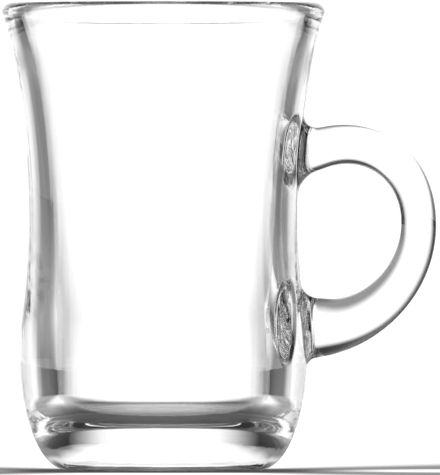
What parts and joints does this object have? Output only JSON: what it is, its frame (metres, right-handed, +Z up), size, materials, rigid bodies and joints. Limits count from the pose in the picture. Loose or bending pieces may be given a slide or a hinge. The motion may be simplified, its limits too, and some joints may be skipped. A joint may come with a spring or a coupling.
{
  "type": "turkish tea glass with handle",
  "caption": "Empty waisted tea glass of thick clear pressed glass, with a flared rounded rim, heavy solid base and a looped side handle.",
  "frame": {"origin": "centre of the flat foot, on the plane the glass rests on", "axes": "+Z up along the glass's axis; +X from the axis towards the handle; the handle's loop lies in the XZ plane"},
  "size_m": [0.0976, 0.0726, 0.105],
  "materials": {
    "glass": "clear colourless soda-lime glass, pressed and fire-polished, smooth and glossy"
  },
  "bodies": {
    "root": {"tea_glass": "glass"}
  },
  "joints": []
}
